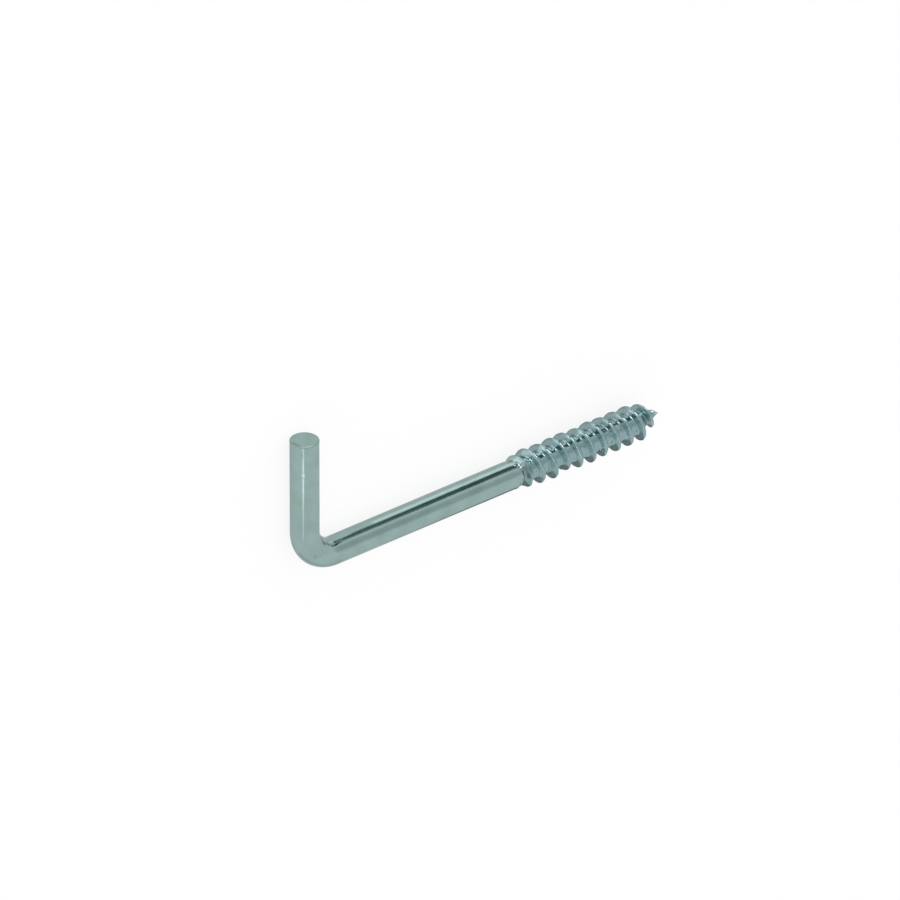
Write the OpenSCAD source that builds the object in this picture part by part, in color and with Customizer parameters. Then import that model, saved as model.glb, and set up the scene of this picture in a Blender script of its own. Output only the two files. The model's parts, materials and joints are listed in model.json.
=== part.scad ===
// Screw-in hinge pin
//
// One length of round steel wire. Near one end it is bent square, so that the
// short leg stands as the pin that a strap hinge turns on. The far end of the
// long leg is rolled with a coarse right-hand wood thread, which runs out on a
// gimlet point.
//
// It lies on its side, as it comes to rest on a flat surface:
//   origin  on the pin's middle line, where the straight pin leaves the bend
//   +Y      along the pin, towards its free end
//   +X      along the shank, towards the point
//   +Z      up

/* [Wire] */
// Diameter of the round wire, and so of the pin
wire_d = 8; // [6:0.1:12]

/* [Pin] */
// Reach of the pin's free end above the middle line of the shank
pin_reach = 38; // [28:0.5:70]
// Width of the small bevel round the free end
end_bevel = 0.2; // [0.05:0.05:1]

/* [Bend] */
// Radius on the inside of the bend
bend_inner_r = 5.5; // [2:0.5:14]

/* [Shank] */
// Distance from the pin's middle line to the start of the rolled end
shank_reach = 70; // [40:1:140]

/* [Thread] */
// Length of the rolled end, from the plain wire to the tip of the point
thread_l = 52; // [35:1:60]
// Distance that the thread advances in one turn
pitch = 4.35; // [3.6:0.05:6]
// Height of the crests above the wire's skin
crest_rise = 1.2; // [0.5:0.05:2]
// Depth of the groove below the wire's skin
groove_depth = 0.5; // [0.1:0.05:1]
// Width of the rounded crest, along the shank
crest_w = 0.25; // [0.1:0.05:0.6]
// Width of each sloping flank, along the shank
flank_w = 1.2; // [0.7:0.05:1.8]
// Length of shank over which the crest rises to its full height
crest_run_in = 5; // [2:0.5:12]
// Length of shank over which the groove sinks to its full depth
groove_run_in = 6; // [2:0.5:12]
// Angle at which the first crest starts, from the pin's side towards the top
thread_clock = 95; // [0:5:355]

/* [Point] */
// Length of the cone that the groove's bottom follows to the tip
cone_l = 9.1; // [5:0.1:16]
// Length over which the crests close in on the tip
crest_run_out = 8.3; // [5:0.1:16]
// Fullness of that closing in: 1 is a straight cone, more is rounder
crest_fullness = 1.5; // [1:0.1:3]

/* [Hidden] */

zinc = "#91a6a3";
wire_sides = 72;            // facets round the plain wire
thread_sides = 36;          // facets round the rolled end
rings_per_turn = 9;         // cross-sections in each turn of thread
skin_gap = 0.02;            // how far the rolled end starts below the wire's skin

wire_r = wire_d / 2;
bend_r = bend_inner_r + wire_r;                 // at the wire's middle line
crest_r = wire_r + crest_rise;
root_r = wire_r - groove_depth;
start_r = wire_r - skin_gap;
tip_x = shank_reach + thread_l;

ring_step = pitch / rings_per_turn;
ring_count = ceil(thread_l / ring_step) + 1;    // the first two lie in plain wire
wire_end_x = tip_x - (ring_count - 0.5) * ring_step;

// Rises from 0 to 1 with level ends as t goes from 0 to 1
function ease(t) = let (u = min(max(t, 0), 1)) u * u * (3 - 2 * u);

// Falls from 1 to 0 over the last stretch before the tip
function run_out(x, length, fullness) =
    1 - pow(min(max((x - tip_x + length) / length, 0), 1), fullness);

// Radius of the groove's bottom and of the crest, along the rolled end
function groove_at(x) =
    (start_r + (root_r - start_r) * ease((x - shank_reach) / groove_run_in))
    * run_out(x, cone_l, 1);
function crest_at(x) = max(groove_at(x),
    (start_r + (crest_r - start_r) * ease((x - shank_reach) / crest_run_in))
    * run_out(x, crest_run_out, crest_fullness));

// Place of the crest along the shank, at an angle, after a number of turns
function crest_x(turn, angle) = shank_reach + pitch * (turn + (angle - thread_clock) / 360);

// Share of the ridge's height at a point: 1 on the crest, 0 in the groove
function ridge_share(x, angle) =
    let (turns = (x - crest_x(0, angle)) / pitch)
    let (off_crest = abs(turns - round(turns)) * pitch)
    1 - ease((off_crest - crest_w / 2) / flank_w);

function surface_r(x, angle) =
    groove_at(x) + (crest_at(x) - groove_at(x)) * ridge_share(x, angle);

// Tilt about the pin's middle line that sets a crest on the floor under the pin
function tilt_on(x) = atan2(crest_at(x), x) - asin(wire_r / norm([x, crest_at(x)]));

// The piece rests along its pin and on the first crest that reaches the floor
under_angle = 270;
under_crests = [
    for (turn = [0 : ceil(thread_l / pitch)])
        let (x = crest_x(turn, under_angle))
            if (x > shank_reach && x < tip_x) x
];
rest_tilt = max([for (x = under_crests) tilt_on(x)]);

// Straight pin, with the bevel round its free end. Its section starts from the
// underside, so that a corner of it, and not a flat, lies along the floor
module pin() {
    straight_l = pin_reach - bend_r - end_bevel;
    translate([0, bend_r, 0])
        rotate([-90, 0, 0])
            rotate([0, 0, 90]) {
                cylinder(h = straight_l, r = wire_r, $fn = wire_sides);
                translate([0, 0, straight_l])
                    cylinder(h = end_bevel, r1 = wire_r, r2 = wire_r - end_bevel, $fn = wire_sides);
            }
}

// Quarter turn from the pin into the shank
module bend() {
    translate([bend_r, bend_r, 0])
        rotate([0, 0, 180])
            rotate_extrude(angle = 90, $fn = wire_sides)
                translate([bend_r, 0])
                    rotate(-90)
                        circle(r = wire_r, $fn = wire_sides);
}

// Plain wire from the bend to the rolled end
module shank() {
    translate([bend_r, 0, 0])
        rotate([0, 90, 0])
            cylinder(h = wire_end_x - bend_r, r = wire_r, $fn = wire_sides);
}

// Thread and gimlet point: rings of points that follow the crest and the groove,
// counted back from the tip so that a corner of each ring lies on the crest
module rolled_end() {
    n = thread_sides;
    tip_angle = thread_clock + 360 * thread_l / pitch;
    ring_points = [
        for (i = [0 : ring_count - 1], j = [0 : n - 1])
            let (x = tip_x - (ring_count - i) * ring_step)
            let (angle = tip_angle + 360 * j / n)
            let (r = surface_r(x, angle))
                [x, r * cos(angle), r * sin(angle)]
    ];
    tip = len(ring_points);
    last = tip - n;
    start_cap = [[for (j = [0 : n - 1]) j]];
    skin = [
        for (i = [0 : ring_count - 2], j = [0 : n - 1], half = [0, 1])
            let (a = i * n + j, b = i * n + (j + 1) % n)
                half == 0 ? [a, a + n, b + n] : [a, b + n, b]
    ];
    tip_fan = [for (j = [0 : n - 1]) [last + j, tip, last + (j + 1) % n]];
    polyhedron(
        points = concat(ring_points, [[tip_x, 0, 0]]),
        faces = concat(start_cap, skin, tip_fan),
        convexity = 10
    );
}

module screw_in_hinge_pin() {
    color(zinc)
        rotate([0, -rest_tilt, 0])
            translate([0, -bend_r, 0]) {
                pin();
                bend();
                shank();
                rolled_end();
            }
}

screw_in_hinge_pin();
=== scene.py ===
# %% [markdown]
# # Screw-in hinge pin
#
# A strap hinge on a gate or a shutter turns on a pin like this one. It is a
# single length of round steel wire. One end is bent square and stands up as
# the pin. The other end is rolled with a coarse wood thread and a gimlet point,
# and is screwed into the post. The whole piece is zinc plated.
#
# The solid model of it is already made. This lesson loads that model as a fixed
# frame, draws the wire again over it as one fine mesh, gives it the look of
# bright zinc, and lights it on a pale table.

# %% Load the imported model as the frame
import json
import math

import bpy
import numpy as np
from mathutils import Matrix, Vector


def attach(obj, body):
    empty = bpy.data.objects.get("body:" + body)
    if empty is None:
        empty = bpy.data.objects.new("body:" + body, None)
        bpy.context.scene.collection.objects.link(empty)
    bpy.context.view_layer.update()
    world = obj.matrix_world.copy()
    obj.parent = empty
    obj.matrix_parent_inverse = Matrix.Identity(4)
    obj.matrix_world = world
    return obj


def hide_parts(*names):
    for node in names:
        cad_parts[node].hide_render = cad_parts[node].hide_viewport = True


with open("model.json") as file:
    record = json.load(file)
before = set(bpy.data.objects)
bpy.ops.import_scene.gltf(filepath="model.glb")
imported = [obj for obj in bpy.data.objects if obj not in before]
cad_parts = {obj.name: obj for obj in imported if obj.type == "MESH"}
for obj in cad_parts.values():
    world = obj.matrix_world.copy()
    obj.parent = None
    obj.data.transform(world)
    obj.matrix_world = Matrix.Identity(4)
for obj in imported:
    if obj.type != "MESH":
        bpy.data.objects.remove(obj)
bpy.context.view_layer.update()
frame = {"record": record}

MM = 0.001

# %% [markdown]
# ## Where the wire is
#
# The record that comes with the model states two mounts. The hinge pin's gives
# the wire's radius and the length of straight pin. The thread's gives the
# direction of the shank. The piece lies on its side, on the pin and on the first
# full crest of the thread, so the shank climbs by a little under one degree.
# Reading these from the record keeps the drawing on the model, with no fitting.

# %% Read the wire's size and the shank's climb from the record
mounts = {mount["name"]: mount for mount in frame["record"]["mounts"]}
hinge_mount = mounts["hinge_pin"]
thread_mount = mounts["screw_thread"]

WIRE_R = hinge_mount["dims"]["r_mm"]
PIN_STRAIGHT = hinge_mount["dims"]["length_mm"]
THREAD_L = thread_mount["dims"]["length_mm"]
shank_way = Vector(thread_mount["axis"])
CLIMB = math.atan2(shank_way.z, shank_way.x)
FLOOR_Z = -WIRE_R

print("wire radius", WIRE_R, "mm, straight pin", PIN_STRAIGHT, "mm")
print("the shank climbs", round(math.degrees(CLIMB), 3), "degrees")

# %% [markdown]
# ## The sizes of the wire
#
# These are the sizes in the model's own source, in millimetres. The bend's
# radius is taken at the wire's middle line. The thread's sizes are what a
# rolling die leaves: rolling takes no metal away, so the crests rise above the
# wire by what the groove pushes out.

# %% Name the sizes
END_BEVEL = 0.2
BEND_R = 9.5
SHANK_REACH = 70.0
PITCH = 4.35
CREST_RISE = 1.2
GROOVE_DEPTH = 0.5
CREST_W = 0.25
FLANK_W = 1.2
CREST_RUN_IN = 5.0
GROOVE_RUN_IN = 6.0
THREAD_CLOCK = math.radians(95)
CONE_L = 9.1
CREST_RUN_OUT = 8.3
CREST_FULLNESS = 1.5
SKIN_GAP = 0.02

TIP_X = SHANK_REACH + THREAD_L
START_R = WIRE_R - SKIN_GAP
CREST_R = WIRE_R + CREST_RISE
ROOT_R = WIRE_R - GROOVE_DEPTH
print("tip at", TIP_X, "mm, crests", 2 * CREST_R, "mm across")

# %% [markdown]
# ## The camera
#
# The piece is seen from a little above the plane that its pin stands on, and
# swung round the pin so that the shank runs away to the right and upwards. The
# pin stays upright in the picture, though the piece lies on the table.
#
# A long lens far away keeps the two edges of the wire parallel, as they are in
# a catalogue picture. Its place is worked out from two angles and from where
# the bend sits in the picture, so nothing is placed by eye.

# %% Place the camera
PIN_ANGLE = math.radians(31.0)
SHANK_SLOPE = math.radians(22.86)
PICTURE_W = 239.7
CORNER_LEFT_OF_MIDDLE = 38.68
CORNER_BELOW_MIDDLE = 29.80
LENS = 1400.0
SENSOR = 36.0

along_pin = Vector((0, 1, 0))
along_shank = Vector((math.cos(CLIMB), 0, math.sin(CLIMB)))
out_of_side = Vector((-math.sin(CLIMB), 0, math.cos(CLIMB)))

swing = math.atan(math.tan(SHANK_SLOPE) / math.sin(PIN_ANGLE))
level = out_of_side * math.cos(swing) - along_shank * math.sin(swing)
to_camera = along_pin * math.sin(PIN_ANGLE) + level * math.cos(PIN_ANGLE)
right = along_shank * math.cos(swing) + out_of_side * math.sin(swing)
up = along_pin * math.cos(PIN_ANGLE) - level * math.sin(PIN_ANGLE)

corner = Vector((0, -BEND_R, 0))
aim = corner + right * CORNER_LEFT_OF_MIDDLE + up * CORNER_BELOW_MIDDLE
distance = PICTURE_W * LENS / SENSOR

lens = bpy.data.cameras.new("camera")
lens.lens = LENS
lens.sensor_width = SENSOR
lens.clip_start = 0.1
lens.clip_end = 100
camera = bpy.data.objects.new("camera", lens)
camera.matrix_world = Matrix.Translation((aim + to_camera * distance) * MM) @ Matrix(
    (right, up, to_camera)
).transposed().to_4x4()
bpy.context.scene.collection.objects.link(camera)
bpy.context.scene.camera = camera
bpy.context.scene.view_settings.view_transform = "Standard"
print("camera at", [round(c, 2) for c in camera.location], "m")

# %% [markdown]
# ## Colours and nodes
#
# A colour is written as the hex value that a paint chip or a screen shows. The
# renderer adds light in linear values, so one function turns the hex value to
# linear. A second small function adds a node with its settings and links, and
# all materials here are made with it.

# %% Helpers for colours and nodes
def linear(hex_colour):
    """The linear red, green, blue and alpha of a hex colour."""
    parts = [int(hex_colour[i : i + 2], 16) / 255 for i in (1, 3, 5)]
    return tuple(
        c / 12.92 if c <= 0.04045 else ((c + 0.055) / 1.055) ** 2.4 for c in parts
    ) + (1.0,)


def add(tree, kind, inputs=None, **settings):
    """Adds a shader node. An input is a socket to link, or a constant."""
    made = tree.nodes.new("ShaderNode" + kind)
    for name, value in settings.items():
        setattr(made, name, value)
    for name, value in (inputs or {}).items():
        if isinstance(value, bpy.types.NodeSocket):
            tree.links.new(value, made.inputs[name])
        else:
            made.inputs[name].default_value = value
    return made


def new_material(name):
    """An empty material, and the node tree to fill."""
    material = bpy.data.materials.new(name)
    material.use_nodes = True
    material.node_tree.nodes.clear()
    return material, material.node_tree


print("bright zinc in linear values:", [round(c, 3) for c in linear("#97AFAC")])

# %% [markdown]
# ## The light
#
# Polished metal has hardly any look of its own: it shows what is round it. A
# studio lights a small bright part inside a white tent, so that the metal shows
# an even pale tone, and then puts a few dark and bright cards near it. Those
# draw the lines that make it look round.
#
# The tent is the world, which is white on all sides. High up on the far right
# is its opening, which is a little darker, and on the far left its cloth hangs
# in shade. Both could be cards as well, but a card has a sharp edge, and these
# fade out. Only the metal sees them, so the table stays evenly lit.

# %% Colour the tent
TENT_WHITE = linear("#FFFFFF")
tent_patches = [
    # the way to its middle, its colour, and the degrees from its middle at which
    # it has faded out and at which it is full
    {"way": (0.54, 0.381, 0.748), "colour": "#D2DADA", "edge": 27, "full": 4},
    {"way": (-0.48, 0.36, 0.80), "colour": "#CDD2D3", "edge": 48, "full": 24},
]


def blend_colours(tree, share, a, b):
    """A colour from a, where the share is 0, to b, where it is 1."""
    return add(tree, "Mix", {0: share, 6: a, 7: b}, data_type="RGBA").outputs[2]


world = bpy.data.worlds.new("tent")
world.use_nodes = True
tree = world.node_tree
tree.nodes.clear()
outward = add(tree, "TexCoord").outputs["Generated"]
seen_in_metal = TENT_WHITE
for patch in tent_patches:
    middle = Vector(patch["way"]).normalized()
    facing = add(tree, "VectorMath", {0: outward, 1: middle}, operation="DOT_PRODUCT")
    limits = {
        "Value": facing.outputs["Value"],
        "From Min": math.cos(math.radians(patch["edge"])),
        "From Max": math.cos(math.radians(patch["full"])),
    }
    fade = add(tree, "MapRange", limits, interpolation_type="SMOOTHSTEP")
    patch_colour = linear(patch["colour"])
    in_patch = fade.outputs["Result"]
    seen_in_metal = blend_colours(tree, in_patch, seen_in_metal, patch_colour)
print("white tent with", len(tent_patches), "darker patches")

# %% Put up the tent
from_metal = add(tree, "LightPath").outputs["Is Glossy Ray"]
tent_colour = blend_colours(tree, from_metal, TENT_WHITE, seen_in_metal)
background = add(tree, "Background", {"Color": tent_colour, "Strength": 1.0})
add(tree, "OutputWorld", {"Surface": background.outputs[0]})
bpy.context.scene.world = world
print("the tent is made of", len(tree.nodes), "nodes")

# %% [markdown]
# The table is a sheet of white paper on a light table. The tent alone makes it
# as white as the tent, with a soft grey shadow where the wire keeps the light
# off. Most of what is seen of it, by eye or in the metal, is the light from
# below, so only a share of that shadow is kept. Seen from underneath the paper
# is clear, so that the underside of the wire can be looked at.

# %% Make the paper
SHADOW_KEPT = 0.15


def show_front_only(tree, surface):
    """Ends a material so that it shows in front and is clear from behind."""
    behind = add(tree, "NewGeometry").outputs["Backfacing"]
    clear = add(tree, "BsdfTransparent").outputs[0]
    one_sided = add(tree, "MixShader", {0: behind, 1: surface, 2: clear})
    add(tree, "OutputMaterial", {"Surface": one_sided.outputs[0]})


paper, tree = new_material("white_paper")
sheet = add(tree, "BsdfDiffuse", {"Color": TENT_WHITE})
glow = add(tree, "Emission", {"Color": TENT_WHITE, "Strength": 1.0})
ray = add(tree, "LightPath")
seen = ray.outputs["Is Camera Ray"]
for other in ("Is Glossy Ray", "Is Transmission Ray"):
    both = {0: seen, 1: ray.outputs[other]}
    seen = add(tree, "Math", both, operation="ADD", use_clamp=True).outputs[0]
own_light = add(tree, "Math", {0: seen, 1: 1 - SHADOW_KEPT}, operation="MULTIPLY")
sheet_and_glow = {0: own_light.outputs[0], 1: sheet.outputs[0], 2: glow.outputs[0]}
lit = add(tree, "MixShader", sheet_and_glow)
show_front_only(tree, lit.outputs[0])
print("paper keeps", SHADOW_KEPT, "of its shadow")


# %% Lay the paper
PAPER_HALF = 3000


def card(name, corners, material):
    """A flat card from its corners, in mm."""
    mesh = bpy.data.meshes.new(name)
    only_face = tuple(range(len(corners)))
    mesh.from_pydata([Vector(c) * MM for c in corners], [], [only_face])
    mesh.materials.append(material)
    obj = bpy.data.objects.new(name, mesh)
    bpy.context.scene.collection.objects.link(obj)
    return obj


def lying(x0, x1, y0, y1, z):
    """Corners of a card that lies flat, with its front up."""
    return [(x0, y0, z), (x1, y0, z), (x1, y1, z), (x0, y1, z)]


card("paper", lying(-PAPER_HALF, PAPER_HALF, -PAPER_HALF, PAPER_HALF, FLOOR_Z), paper)
print("paper laid at z =", FLOOR_Z, "mm")

# %% [markdown]
# The cards stand and lie round the piece. The metal sees them, and nothing else
# does, because they are out of the picture in a real studio.
#
# The place of each is found by following the ray of sight back from the metal,
# as a mirror would send it. The plain shank sends it forward, beyond the pin's
# side of the wire. There a black card stands, with a dark cloth in front of it,
# and the two draw the dark line along the shank. One corner of the card is cut
# off, which lets the line start thin at the bend. A bright strip lies between
# the cloth and the wire and draws the bright band above that line. The ridges
# of the thread lean back, so they see further left, where a broad lamp gives
# them their sparkle. The pin sees a narrow lamp on its left.
#
# Grey cloths lie under the thread and in front of it. They are painted shade:
# they stand for the paper's shadow there, as the metal would mirror it, and keep
# the white paper out of the undersides of the ridges. A paler one softens their
# edge. Two screens stand close to the wire. One is white and hides the dark
# shank from the pin, which would otherwise mirror it as a dark line. The other
# is grey and tones the sides of the ridges that face the pin. Each screen is
# clear from behind, so that it hides nothing from the metal on its other side.

# %% Lay out the black card, its cloth and the bright strip
SHANK_Y = -BEND_R
CLOTH_Z = FLOOR_Z + 0.05
STRIP_Z = FLOOR_Z + 0.1
BACK_Y = SHANK_Y + 300
DARK_LEFT, DARK_RIGHT = 160, 440
DARK_TOP = 124
CLOTH_NEAR_Y = SHANK_Y + 26

cloth_corners = [
    (30.5, CLOTH_NEAR_Y, CLOTH_Z),
    (DARK_RIGHT, CLOTH_NEAR_Y, CLOTH_Z),
    (DARK_RIGHT, BACK_Y, CLOTH_Z),
    (DARK_LEFT, BACK_Y, CLOTH_Z),
]
black_card_corners = [
    (DARK_LEFT, BACK_Y, FLOOR_Z),
    (DARK_RIGHT, BACK_Y, FLOOR_Z),
    (DARK_RIGHT, BACK_Y, DARK_TOP),
    (234, BACK_Y, DARK_TOP),
    (DARK_LEFT, BACK_Y, 50),
]
strip_corners = [
    (27, SHANK_Y + 9.2, STRIP_Z),
    (80, SHANK_Y + 9.6, STRIP_Z),
    (150, SHANK_Y + 31, STRIP_Z),
    (40, SHANK_Y + 29, STRIP_Z),
]
print("black card", DARK_RIGHT - DARK_LEFT, "mm wide, stands at y =", BACK_Y, "mm")


# %% Lay out the cloths and screens close to the wire
FRONT_Y = SHANK_Y - 60
SCREEN_X = 64
SCREEN_TOP = 14


def standing(x0, x1, y, z0, z1):
    """Corners of a card that stands along the shank."""
    return [(x0, y, z0), (x1, y, z0), (x1, y, z1), (x0, y, z1)]


# The grey cloths are painted shade: the paper's shadow under and in front of the
# thread.
front_shadow_corners = lying(66, 150, FRONT_Y, SHANK_Y - 5.5, CLOTH_Z)
side_shadow_corners = lying(74, 124, SHANK_Y - 5.5, SHANK_Y + 7.5, CLOTH_Z)
shadow_edge_corners = lying(48, 66, FRONT_Y, SHANK_Y - 12, CLOTH_Z)
shank_screen_corners = standing(66, 7, SHANK_Y + WIRE_R + 1, FLOOR_Z, WIRE_R)
thread_screen_corners = [
    (SCREEN_X, SHANK_Y - 65, FLOOR_Z),
    (SCREEN_X, SHANK_Y - 3, FLOOR_Z),
    (SCREEN_X, SHANK_Y - 3, SCREEN_TOP),
    (SCREEN_X, SHANK_Y - 65, SCREEN_TOP),
]
print("grey screen stands", SHANK_REACH - SCREEN_X, "mm before the thread")

# %% Lay out the lamps
thread_lamp_corners = standing(-120, 125, BACK_Y, 18, 150)
pin_lamp_corners = [
    (-84.2, -33.6, 57.4),
    (-68.9, -29.8, 69.3),
    (-74.6, -60, 64.8),
    (-81.0, -60, 59.9),
]
pin_lamp_ends = [Vector(c) for c in pin_lamp_corners]
near_end_w = (pin_lamp_ends[1] - pin_lamp_ends[0]).length
far_end_w = (pin_lamp_ends[3] - pin_lamp_ends[2]).length
print("pin lamp narrows from", round(near_end_w, 1), "to", round(far_end_w, 1), "mm")

# %% [markdown]
# A card's finish is plain light of one colour. Where a card is lit from one
# end, its strength fades along one of the card's own directions. A strength of
# 1 makes a card as bright as its colour is on white paper. A lamp has more.

# %% Make the cards' finishes
def card_finish(name, hex_colour, strength=1.0, far_strength=None, one_sided=False):
    """Plain light; far_strength is what it fades to at the card's far end in Y."""
    material, tree = new_material(name)
    light = add(tree, "Emission", {"Color": linear(hex_colour), "Strength": strength})
    if far_strength is not None:
        own = add(tree, "TexCoord").outputs["Generated"]
        parts = add(tree, "SeparateXYZ", {0: own})
        ends = {"Value": parts.outputs["Y"], "To Min": strength, "To Max": far_strength}
        fade = add(tree, "MapRange", ends)
        tree.links.new(fade.outputs["Result"], light.inputs["Strength"])
    if one_sided:
        show_front_only(tree, light.outputs[0])
    else:
        add(tree, "OutputMaterial", {"Surface": light.outputs[0]})
    return material


THREAD_LAMP_STRENGTH = 5.0
dark_felt = card_finish("dark_felt", "#486662")
silver = card_finish("silver_strip", "#FFFFFF", 1.45)
# Finishes of the cloths that are painted shade, the paper's shadow near the thread.
grey_felt = card_finish("grey_felt", "#929A9C")
side_felt = card_finish("side_felt", "#CDD2D3")
pale_felt = card_finish("pale_felt", "#DCD9DC")
broad_light = card_finish("thread_lamp", "#FFFFFF", THREAD_LAMP_STRENGTH)
narrow_light = card_finish("pin_lamp", "#FFF4F6", 1.42, far_strength=3.4)
white_screen = card_finish("white_screen", "#FFFFFF", one_sided=True)
grey_screen = card_finish("grey_screen", "#D2DADA", one_sided=True)
print("thread lamp is", THREAD_LAMP_STRENGTH, "times as bright as the paper")

# %% Stand the cards and hide them from everything but the metal
cards = [
    card("dark_cloth", cloth_corners, dark_felt),
    card("black_card", black_card_corners, dark_felt),
    card("bright_strip", strip_corners, silver),
    card("front_cloth", front_shadow_corners, grey_felt),
    card("side_cloth", side_shadow_corners, side_felt),
    card("front_edge", shadow_edge_corners, pale_felt),
    card("thread_lamp", thread_lamp_corners, broad_light),
    card("shank_screen", shank_screen_corners, white_screen),
    card("thread_screen", thread_screen_corners, grey_screen),
    card("pin_lamp", pin_lamp_corners, narrow_light),
]
for obj in cards:
    obj.visible_camera = False
    obj.visible_diffuse = False
    obj.visible_shadow = False
    obj.visible_transmission = False
    print(obj.name, "spans", [round(c / MM) for c in obj.dimensions], "mm")

# %% [markdown]
# ## The wire as one sweep
#
# The real piece never has a seam: it is cut, bent and rolled from one length.
# So it is drawn as one sweep. A ring of points is carried along the wire's
# middle line, from the end of the pin, round the bend, down the shank and to
# the point. Each ring turns with the line, and its radius changes with the
# thread. Curves with a bevel could draw the plain wire, but not the thread, and
# a join between the two would show.
#
# First comes the middle line itself. `along` is the distance from the pin's
# free end. The inner side is the direction that faces the inside of the bend,
# and angles round the wire are counted from it.

# %% The middle line of the wire
BEND_L = BEND_R * math.pi / 2
BEND_FROM = PIN_STRAIGHT + END_BEVEL
BEND_TO = BEND_FROM + BEND_L
THREAD_FROM = BEND_TO + SHANK_REACH - BEND_R
WIRE_L = THREAD_FROM + THREAD_L


def middle_line(along):
    """Points (x, y) of the middle line and the inner side (x, y), for each distance."""
    turn = np.clip((along - BEND_FROM) / BEND_R, 0, math.pi / 2)
    before = np.minimum(along - BEND_FROM, 0)
    after = np.maximum(along - BEND_TO, 0)
    x = BEND_R * (1 - np.cos(turn)) + after
    y = -BEND_R * np.sin(turn) - before
    return x, y, np.cos(turn), np.sin(turn)


def shank_x(along):
    """Distance from the pin's middle line, counted along the shank."""
    return along - BEND_TO + BEND_R


print("wire is", round(WIRE_L, 1), "mm long; the bend takes", round(BEND_L, 1), "mm")

# %% [markdown]
# ## The thread's form
#
# The crest of a thread is a helix, which moves on by one pitch in each turn. At
# any point of the surface, the distance to the nearest crest along the shank
# says how high the ridge is there. The groove sinks and the crest rises over
# the first few millimetres, where the dies start to bite, and both run out at
# the gimlet point.

# %% Radius of the rolled end
def ease(t):
    """Goes from 0 to 1 with level ends, as t goes from 0 to 1."""
    u = np.clip(t, 0, 1)
    return u * u * (3 - 2 * u)


def run_out(x, length, fullness):
    """Goes from 1 to 0 over the last stretch before the tip."""
    return 1 - np.clip((x - TIP_X + length) / length, 0, 1) ** fullness


def groove_radius(x):
    """Radius of the groove's bottom."""
    sink = ease((x - SHANK_REACH) / GROOVE_RUN_IN)
    return (START_R + (ROOT_R - START_R) * sink) * run_out(x, CONE_L, 1)


def crest_radius(x):
    """Radius of the crest."""
    rise = ease((x - SHANK_REACH) / CREST_RUN_IN)
    crest = (START_R + (CREST_R - START_R) * rise) * run_out(
        x, CREST_RUN_OUT, CREST_FULLNESS
    )
    return np.maximum(groove_radius(x), crest)


def ridge_share(x, angle):
    """Share of the ridge's height: 1 on the crest, 0 in the groove."""
    turns = (x - SHANK_REACH) / PITCH - (angle - THREAD_CLOCK) / (2 * math.pi)
    off_crest = np.abs(turns - np.round(turns)) * PITCH
    return 1 - ease((off_crest - CREST_W / 2) / FLANK_W)


def rolled_radius(x, angle):
    """Radius of the thread at a point of its surface."""
    low = groove_radius(x)
    return low + (crest_radius(x) - low) * ridge_share(x, angle)


half_way = TIP_X - THREAD_L / 2
print("crest radius half way along the thread:", float(crest_radius(half_way)), "mm")

# %% [markdown]
# ## Where the rings go
#
# Straight wire needs few rings, but the pin gets one every third of a millimetre
# for the small dings on it. The bend needs more, and the thread needs about
# forty in each turn to keep its crests sharp. The sheared end gets rings close
# together, because its worn rim is only a quarter of a millimetre wide.

# %% Space the rings
SIDES = 120
RINGS_PER_TURN = 38
RIM_RINGS = 6
BEND_RINGS = 59
PIN_STEP = 0.3
SHANK_STEP = 0.8
WORN_EDGE = 0.28
ROLLED_FROM = THREAD_FROM - 1

rim_turn = np.linspace(0, math.pi / 2, RIM_RINGS + 1)[1:]
stations = np.concatenate(
    [
        WORN_EDGE * (1 - np.cos(rim_turn)),
        np.arange(WORN_EDGE + 0.2, BEND_FROM, PIN_STEP),
        np.linspace(BEND_FROM, BEND_TO, BEND_RINGS + 1)[:-1],
        np.arange(BEND_TO, ROLLED_FROM, SHANK_STEP),
        np.arange(ROLLED_FROM, WIRE_L, PITCH / RINGS_PER_TURN),
    ]
)
angles = np.arange(SIDES) / SIDES * 2 * math.pi
ALONG, ROUND = np.meshgrid(stations, angles, indexing="ij")
print(len(stations), "rings of", SIDES, "points")

# %% [markdown]
# ## Marks of making
#
# Bending squeezes the metal on the inside of the bend, so it swells there by a
# few tenths of a millimetre. Where the swelling meets the bending pin, the pin
# presses a flat on it.
#
# Tools leave smaller marks too. A mark is a line from one place on the wire to
# another, with a width and a depth. A short one is a nick and a long one is a
# crease. A mark with a negative depth is a burr or a lump. Zinc hardly gets
# into a sharp nick, so some marks are dull as well. Other marks are darkened as
# painted shade: the crease and the edge of the flat in the bend's inner corner,
# and the steps where the dies first bite. Each could be a dent cut out with a
# small solid, but one formula for all of them keeps the mesh whole.

# %% Functions for the marks
def within_half_turn(degrees):
    """The same angle between -180 and 180."""
    return (degrees + 180) % 360 - 180


def mark_share(mark):
    """How much of a mark there is at every point: 1 on its line, 0 away from it."""
    round_mm = np.radians(within_half_turn(np.degrees(ROUND))) * WIRE_R
    (ax, a_angle), (bx, b_angle) = mark["from"], mark["to"]
    ay = math.radians(within_half_turn(a_angle)) * WIRE_R
    by = math.radians(within_half_turn(b_angle)) * WIRE_R
    along_line = ((ALONG - ax) * (bx - ax) + (round_mm - ay) * (by - ay)) / (
        (bx - ax) ** 2 + (by - ay) ** 2 + 1e-9
    )
    share = np.clip(along_line, 0, 1)
    gap = np.hypot(ALONG - ax - share * (bx - ax), round_mm - ay - share * (by - ay))
    return np.exp(-((gap / mark["width"]) ** 2))


def wire_mark(start, end, width, depth, dull=0.0):
    """A mark between two places, each (mm along the wire, degrees round it)."""
    return {"from": start, "to": end, "width": width, "depth": depth, "dull": dull}


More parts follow.
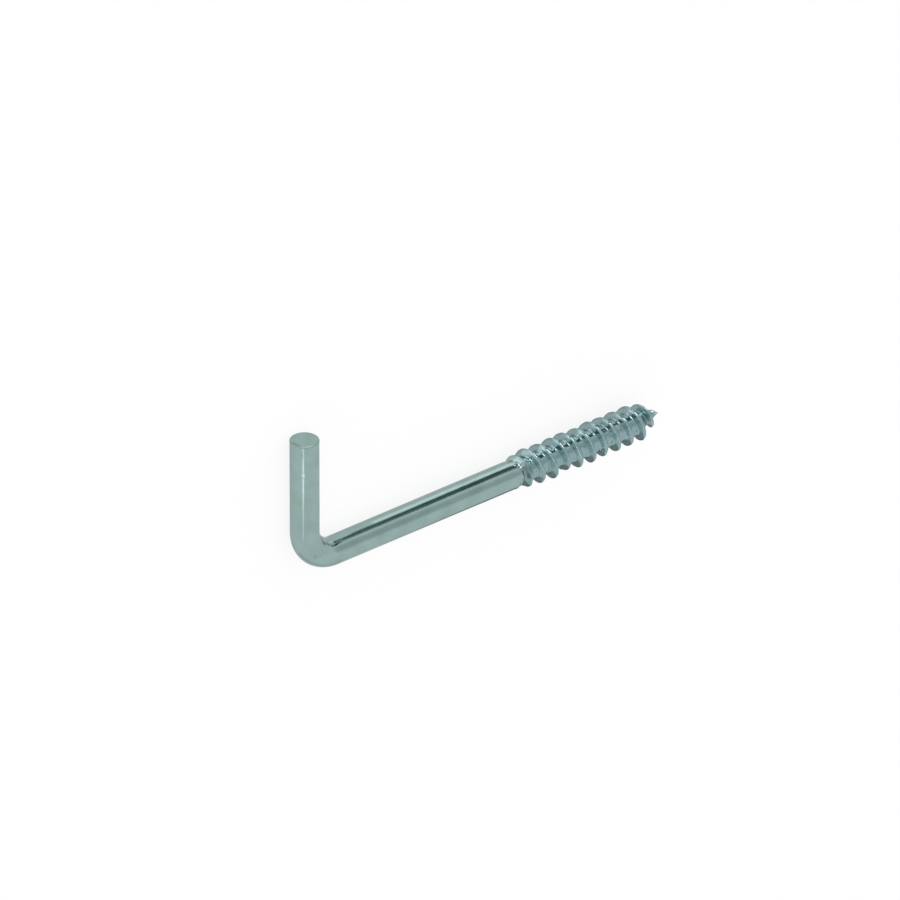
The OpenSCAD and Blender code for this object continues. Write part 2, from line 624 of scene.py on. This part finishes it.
def shank_mark(start, end, width, depth, dull=0.0):
    """The same, with the places counted along the shank from the pin's middle line."""
    on_wire = [(x - BEND_R + BEND_TO, angle) for x, angle in (start, end)]
    return wire_mark(*on_wire, width, depth, dull)


print("the wire is", round(2 * math.pi * WIRE_R, 1), "mm round")


# %% Name the marks
marks = [
    # the crease that closes where the pin meets the swelling, darkened with painted
    # shade
    wire_mark((31.2, 36), (35.9, 41), width=0.34, depth=0.26, dull=0.9),
    # the lower edge of the flat, pushed up by the bending pin, with a painted dark
    # reflection along it
    wire_mark((37.5, 35), (40.1, 39.5), width=0.34, depth=0.20, dull=0.8),
    wire_mark((40.1, 39.5), (44.7, 31), width=0.30, depth=0.08, dull=0.85),
    # a darker line along the outside of the bend, just inside its outline
    wire_mark((32.9, 163), (36.8, 137), width=0.45, depth=0.02, dull=0.4),
    wire_mark((36.8, 137), (43.3, 116), width=0.45, depth=0.02, dull=0.35),
    # dings from the other pins in the barrel
    wire_mark((34.2, 110), (34.8, 113), width=0.40, depth=0.10, dull=0.3),
    wire_mark((30.4, 180), (31.2, 184), width=0.40, depth=0.10, dull=0.3),
    wire_mark((1.9, 144), (3.1, 143), width=0.35, depth=0.06, dull=0.1),
    wire_mark((8.6, 134), (9.2, 134), width=0.45, depth=0.03, dull=0.1),
    # two steps that the dies leave where they first bite, darkened with painted shade
    shank_mark((73.2, 48), (73.7, 88), width=0.42, depth=0.18, dull=0.95),
    shank_mark((75.3, 52), (75.7, 84), width=0.38, depth=0.15, dull=0.8),
    # burrs beside those steps, which stand up and catch the light
    shank_mark((72.5, 41), (72.7, 44), width=0.38, depth=-0.20),
    shank_mark((73.2, 29), (73.4, 33), width=0.38, depth=-0.20),
    shank_mark((74.5, 25), (74.7, 30), width=0.36, depth=-0.16),
    shank_mark((75.4, 36), (75.6, 40), width=0.36, depth=-0.16),
    shank_mark((75.8, 18), (75.9, 21), width=0.34, depth=-0.15),
    shank_mark((77.1, 31), (77.3, 34), width=0.34, depth=-0.15),
    # a crest that is bent over, one that isn't full yet and one that stands proud
    shank_mark((87.3, 130), (87.6, 160), width=1.3, depth=0.48, dull=0.2),
    shank_mark((74.2, 118), (74.7, 165), width=1.7, depth=0.38, dull=0.1),
    shank_mark((95.6, 125), (96.0, 155), width=1.3, depth=-0.24),
    # a chip in a crest
    shank_mark((103.6, 64), (103.8, 69), width=0.45, depth=0.25),
]
print(len(marks), "marks named")

# %% [markdown]
# All of it comes together in one radius for each point. It starts as the thread,
# whose crests don't rise quite evenly: two slow waves along it make them differ.
# The rim of the sheared end is worn round. Then come the swelling with its flat,
# and the marks.

# %% Radius of the thread and the worn rim
UNEVEN = 0.06

x_here = shank_x(ALONG)
waver = 1 + UNEVEN * (np.sin(1.9 * x_here + 0.7) + np.sin(0.83 * x_here - 2 * ROUND))
ridge_height = (rolled_radius(x_here, ROUND) - groove_radius(x_here)) * waver
uneven_thread = groove_radius(x_here) + ridge_height
radius = np.where(x_here > SHANK_REACH, uneven_thread, WIRE_R)
in_edge = np.clip(WORN_EDGE - ALONG, 0, WORN_EDGE)
radius = radius - WORN_EDGE + np.sqrt(WORN_EDGE**2 - in_edge**2)
print("crests up to", round(2 * float(radius.max()), 2), "mm across")

# %% Swell the bend and press the flat
BEND_SWELL = 0.38
FLAT_AT = 4.16
FLAT_TURN = math.radians(16)
FLAT_FROM, FLAT_TO = 33.5, 44.5
FLAT_STARTS_OVER, FLAT_ENDS_OVER = 2.5, 3.0
LEAST_COSINE = 0.2

bend_share = np.clip((ALONG - BEND_FROM) / BEND_L, 0, 1)
inner = np.maximum(np.cos(ROUND), 0)
radius = radius + BEND_SWELL * np.sin(math.pi * bend_share) ** 2 * inner**3
flat_r = FLAT_AT / np.maximum(np.cos(ROUND - FLAT_TURN), LEAST_COSINE)
flat_starts = ease((ALONG - FLAT_FROM) / FLAT_STARTS_OVER)
flat_ends = ease((FLAT_TO - ALONG) / FLAT_ENDS_OVER)
on_flat = flat_starts * flat_ends
radius = radius + (np.minimum(radius, flat_r) - radius) * on_flat
in_bend = (ALONG > BEND_FROM) & (ALONG < BEND_TO)
print("the bend swells by", round(float(radius[in_bend].max()) - WIRE_R, 2), "mm")

# %% Press the marks and note where the zinc is dull or painted with shade
# The rim of the sheared end is painted a little darker: painted shade that tones down
# its highlight.
RIM_PAINTED_SHADE = 0.2
RIM_PAINTED_SHADE_TO = 0.4
RIM_PAINTED_SHADE_FADE = 0.2

dull = RIM_PAINTED_SHADE * ease((RIM_PAINTED_SHADE_TO - ALONG) / RIM_PAINTED_SHADE_FADE)
for mark in marks:
    share = mark_share(mark)
    radius = radius - mark["depth"] * share
    dull = np.maximum(dull, mark["dull"] * share)
print("dull at", int((dull > 0.5).sum()), "of", dull.size, "points")

# %% [markdown]
# The thread dies are hard and worn, and they leave the rolled skin dimpled. The
# dimples are about one millimetre wide and up to a tenth deep, and some are low
# bumps instead. They break up what the thread mirrors, so that it glitters.
# Their places come from a seed that is kept, so they are the same every time.

# %% Press the dimples into the rolled skin
DIMPLES = 1100
DIMPLE_DEPTH = 0.09
DIMPLE_SEED = 7
DIMPLES_FROM = THREAD_FROM + 1
DIMPLES_TO = WIRE_L - 5.5
LEAST_SIZE, MOST_SIZE = 0.4, 0.85

rng = np.random.default_rng(DIMPLE_SEED)
rolled_rows = stations > ROLLED_FROM
along_rows, round_rows = ALONG[rolled_rows], ROUND[rolled_rows]
dimples = np.zeros_like(along_rows)
for _ in range(DIMPLES):
    place = rng.uniform(DIMPLES_FROM, DIMPLES_TO)
    turn = rng.uniform(0, 2 * math.pi)
    size = rng.uniform(LEAST_SIZE, MOST_SIZE)
    off = (round_rows - turn + math.pi) % (2 * math.pi) - math.pi
    gap = ((along_rows - place) ** 2 + (off * WIRE_R) ** 2) / size**2
    dimples += rng.uniform(-0.5, 1) * DIMPLE_DEPTH * np.exp(-gap)
radius[rolled_rows] -= dimples
print("radius from", round(float(radius.min()), 2), "to", round(float(radius.max()), 2))

# %% [markdown]
# ## The mesh
#
# The rings are set on the middle line and joined by quads. The sheared end is
# closed by smaller rings, and the point by one last vertex. Then the whole
# piece is tilted to its rest, as the model is.

# %% Points of the wire's skin
def sweep_points():
    """Rings of the wire's skin, from the rim to the last ring before the tip."""
    x, y, nx, ny = middle_line(ALONG)
    across = radius * np.cos(ROUND)
    return np.stack(
        [x + across * nx, y + across * ny, radius * np.sin(ROUND)], axis=-1
    )


skin_points = sweep_points()
print("the skin spans", [round(float(w), 1) for w in np.ptp(skin_points, axis=(0, 1))])

# %% Points of the sheared end
END_RINGS = 24
NICK_FROM, NICK_TO = Vector((-3.4, -0.5)), Vector((-3.1, 1.35))
NICK_WIDTH = 0.4
NICK_DEPTH = 0.1


def end_mark(x, z):
    """The nick that the shear left beside the rim."""
    line = NICK_TO - NICK_FROM
    dx, dz = x - NICK_FROM.x, z - NICK_FROM.y
    share = np.clip((dx * line.x + dz * line.y) / line.length_squared, 0, 1)
    gap = np.hypot(dx - share * line.x, dz - share * line.y)
    return np.exp(-((gap / NICK_WIDTH) ** 2))


def end_points():
    """Rings of the sheared end, from its middle to its rim."""
    shares = np.linspace(0, 1, END_RINGS + 1)[1:]
    rim = WIRE_R - WORN_EDGE
    share, turn = np.meshgrid(shares, angles, indexing="ij")
    x, z = rim * share * np.cos(turn), rim * share * np.sin(turn)
    y = BEND_FROM - NICK_DEPTH * end_mark(x, z)
    return np.stack([x, y, z], axis=-1)


end = end_points()
print("nick", round((NICK_TO - NICK_FROM).length, 1), "mm long in the sheared end")


# %% Put all points in one list and tilt them
def for_each_vertex(on_end, on_body, at_middle, at_tip):
    """One value a vertex: the end's rings, the skin's rings, end's middle, tip."""
    shape = (-1, *np.shape(at_tip))
    parts = (on_end, on_body, at_middle, at_tip)
    return np.concatenate([np.reshape(part, shape) for part in parts])


points = for_each_vertex(end, skin_points, [0, BEND_FROM, 0], [TIP_X, -BEND_R, 0])
middle_index = len(points) - 2
tip_index = len(points) - 1

tilt = np.array(Matrix.Rotation(-CLIMB, 3, "Y"))
points = points @ tilt.T
print(len(points), "points, the lowest at z =", round(float(points[:, 2].min()), 2))

# %% Join the points into the wire's mesh
ring_total = END_RINGS + len(stations)
quads = []
for ring in range(ring_total - 1):
    a = ring * SIDES + np.arange(SIDES)
    b = ring * SIDES + (np.arange(SIDES) + 1) % SIDES
    quads.append(np.stack([a, b, b + SIDES, a + SIDES], axis=1))
faces = np.concatenate(quads).tolist()
last = (ring_total - 1) * SIDES
for j in range(SIDES):
    k = (j + 1) % SIDES
    faces.append([middle_index, k, j])
    faces.append([tip_index, last + j, last + k])

mesh = bpy.data.meshes.new("hinge_pin_wire")
mesh.from_pydata((points * MM).tolist(), [], faces)
mesh.polygons.foreach_set("use_smooth", [True] * len(mesh.polygons))
mesh.update()
print(len(mesh.polygons), "faces in the wire")

# %% [markdown]
# The finish needs to know where it is on the wire, so that it can follow the
# wire round the bend. Five values are kept at each vertex: the place on the
# unbent wire in millimetres, the share of rolled thread, the share of a ridge's
# height, how rough a shear has left the steel, and how dull a mark has left it
# or how much shade is painted on it.
# The pin's end is sheared off the wire, and the dies pinch the point off from
# its waste, so both are matte.

# %% Keep each vertex's place on the wire
SHEAR_MATTE_TO = 0.6
SHEAR_FADE = 0.3
TIP_MATTE = 0.9
TIP_MATTE_L = 7
TIP_FADE = 3
ROLLED_RUN_IN = 5
NICK_DULL = 0.55

nothing = np.zeros((END_RINGS, SIDES))
place_on_end = np.stack([nothing, end[..., 0], end[..., 2]], axis=-1)
place_on_wire = np.stack(
    [ALONG, radius * np.cos(ROUND), radius * np.sin(ROUND)], axis=-1
)
matte_end = ease((SHEAR_MATTE_TO - ALONG) / SHEAR_FADE)
matte_tip = TIP_MATTE * ease((ALONG - WIRE_L + TIP_MATTE_L) / TIP_FADE)
rolled = ease((x_here - SHANK_REACH) / ROLLED_RUN_IN)
ridge = ridge_share(x_here, ROUND) * (x_here > SHANK_REACH)
dull_nick = NICK_DULL * end_mark(end[..., 0], end[..., 2])

places = for_each_vertex(place_on_end, place_on_wire, [0, 0, 0], [WIRE_L, 0, 0])
shares = {
    "rolled": for_each_vertex(nothing, rolled, 0.0, 1.0),
    "ridge": for_each_vertex(nothing, ridge, 0.0, 1.0),
    "sheared": for_each_vertex(nothing + 1, matte_end + matte_tip, 1.0, TIP_MATTE),
    "dull": for_each_vertex(dull_nick, dull, 0.0, 0.0),
}
kept = mesh.attributes.new("place", "FLOAT_VECTOR", "POINT")
kept.data.foreach_set("vector", places.astype(np.float32).ravel())
for name, values in shares.items():
    kept = mesh.attributes.new(name, "FLOAT", "POINT")
    kept.data.foreach_set("value", values.astype(np.float32))
print("kept place,", ", ".join(shares), "at", len(places), "vertices")

# %% [markdown]
# ## The finish: bright zinc plating
#
# The wire is cold-drawn mild steel with about 8 microns of electroplated zinc
# and a clear blue passivation. That gives the eye a cool grey metal with a
# faint green-blue cast, not a mirror. The zinc grows in fine grains, so its
# reflections are soft. It follows what is under it: fine lines from the drawing
# die along the wire, and rougher skin where the thread dies have pressed it.
#
# The real lines are a few hundredths of a millimetre apart, and the real grains
# are finer still. Here both are some tenths of a millimetre wide, because finer
# ones would blur to nothing at the size at which the piece is looked at.

# %% Draw the zinc's lines, grains and clouds
CLOUD_SCALE = 0.22
LINE_SCALE = 3.0
LINE_STRETCH = 0.02
GRAIN_SCALE = 2.5

zinc, tree = new_material("bright_zinc_plating_on_drawn_steel")
here = add(tree, "Attribute", attribute_name="place").outputs["Vector"]


def share_of(name):
    """One of the shares that the mesh keeps."""
    return add(tree, "Attribute", attribute_name=name).outputs["Fac"]


def noise(vector, scale, detail, roughness):
    """Soft noise; scale is in spots for each mm."""
    made = {"Vector": vector, "Scale": scale, "Detail": detail, "Roughness": roughness}
    return add(tree, "TexNoise", made).outputs["Fac"]


def blend_values(share, a, b):
    """A value from a, where the share is 0, to b, where it is 1."""
    return add(tree, "Mix", {0: share, 2: a, 3: b}, data_type="FLOAT").outputs[0]


rolled_part = share_of("rolled")
ridge_part = share_of("ridge")
stretch = (LINE_STRETCH, 1.0, 1.0)
stretched = add(tree, "VectorMath", {0: here, 1: stretch}, operation="MULTIPLY")
draw_lines = noise(stretched.outputs[0], LINE_SCALE, 4.0, 0.65)
grain = noise(here, GRAIN_SCALE, 3.0, 0.6)
skin = blend_values(rolled_part, draw_lines, grain)
cloud = noise(here, CLOUD_SCALE, 3.0, 0.55)
print("draw lines", round(1 / LINE_SCALE, 2), "mm apart, grains", 1 / GRAIN_SCALE, "mm")

# %% [markdown]
# Its tone drifts a little over some millimetres, because the current in the
# bath is never quite even. The thread is a shade bluer. The dies have burnished
# the flanks of its ridges, in patches, and they are painted lighter there. That
# lightness is partly the burnish and partly painted light, which makes up for
# light that is mirrored twice in the groove and loses some each time. A flank
# is where a ridge is neither at its foot nor at its top, so its share is the
# product of the ridge's height and what is missing from it, which is a quarter
# at most.

# %% Colour the zinc
LOW_TONE, HIGH_TONE = "#8DA4A1", "#97AFAC"
THREAD_TONE = "#8AA3A6"
BURNISH_AND_PAINTED_LIGHT_TONE = "#CFE4E4"
DULL_AND_SHADE_TONE = "#5C706E"
MOST_FLANK = 0.25


def product(a, b):
    return add(tree, "Math", {0: a, 1: b}, operation="MULTIPLY").outputs[0]


tone = add(tree, "ValToRGB", {"Fac": cloud})
low_end, high_end = tone.color_ramp.elements
low_end.position, low_end.color = 0.32, linear(LOW_TONE)
high_end.position, high_end.color = 0.68, linear(HIGH_TONE)

missing = add(tree, "Math", {0: 1.0, 1: ridge_part}, operation="SUBTRACT").outputs[0]
flank = product(product(ridge_part, missing), rolled_part)
grain_range = {"Value": grain, "From Min": 0.35, "From Max": 0.65}
patchy = add(tree, "MapRange", {**grain_range, "To Min": 0.16, "To Max": 0.6})
to_patchy = {
    "Value": flank,
    "From Max": MOST_FLANK,
    "To Max": patchy.outputs["Result"],
}
burnish_and_painted_light = add(tree, "MapRange", to_patchy).outputs["Result"]

plain = tone.outputs["Color"]
colour = blend_colours(tree, rolled_part, plain, linear(THREAD_TONE))
# the flanks: partly burnish, partly painted light against the loss of twice-mirrored
# light
colour = blend_colours(tree, burnish_and_painted_light, colour, linear(BURNISH_AND_PAINTED_LIGHT_TONE))
# Marks that are dull, and marks painted with shade, take the darker tone.
colour = blend_colours(tree, share_of("dull"), colour, linear(DULL_AND_SHADE_TONE))
for name, tone_hex in (("plain", HIGH_TONE), ("dull", DULL_AND_SHADE_TONE)):
    sent_back = sum(linear(tone_hex)[:3]) / 3
    print(name, "zinc sends back", round(sent_back, 2), "of the light")

# %% [markdown]
# The plating is smooth enough to mirror a card's edge within a few degrees. The
# sheared end and the point are more than twice as rough. The finest relief is
# only some hundredths of a millimetre high, so it is drawn by bump. The mesh
# holds all that is higher.

# %% Give the zinc its gloss
MATTE_ROUGHNESS = 0.42
RELIEF = 0.02

skin_range = {"Value": skin, "From Min": 0.3, "From Max": 0.7}
gloss = add(tree, "MapRange", {**skin_range, "To Min": 0.13, "To Max": 0.20})
smooth = gloss.outputs["Result"]
roughness = blend_values(share_of("sheared"), smooth, MATTE_ROUGHNESS)
bump = add(tree, "Bump", {"Height": skin, "Distance": RELIEF * MM, "Strength": 0.6})
metal = add(
    tree,
    "BsdfPrincipled",
    {
        "Base Color": colour,
        "Metallic": 1.0,
        "Specular Tint": linear("#E0E0E0"),
        "Roughness": roughness,
        "Normal": bump.outputs["Normal"],
    },
)
add(tree, "OutputMaterial", {"Surface": metal.outputs[0]})
print("zinc made of", len(tree.nodes), "nodes")

# %% [markdown]
# ## Put the wire on the model
#
# The fine mesh takes the place of the model's solid in the picture. The solid
# stays behind it for the physics.

# %% Place the wire
mesh.materials.append(zinc)
wire = bpy.data.objects.new("hinge_pin_wire", mesh)
bpy.context.scene.collection.objects.link(wire)
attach(wire, "root")
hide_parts("screw_in_hinge_pin")
print(wire.name, "has the finish", wire.data.materials[0].name)
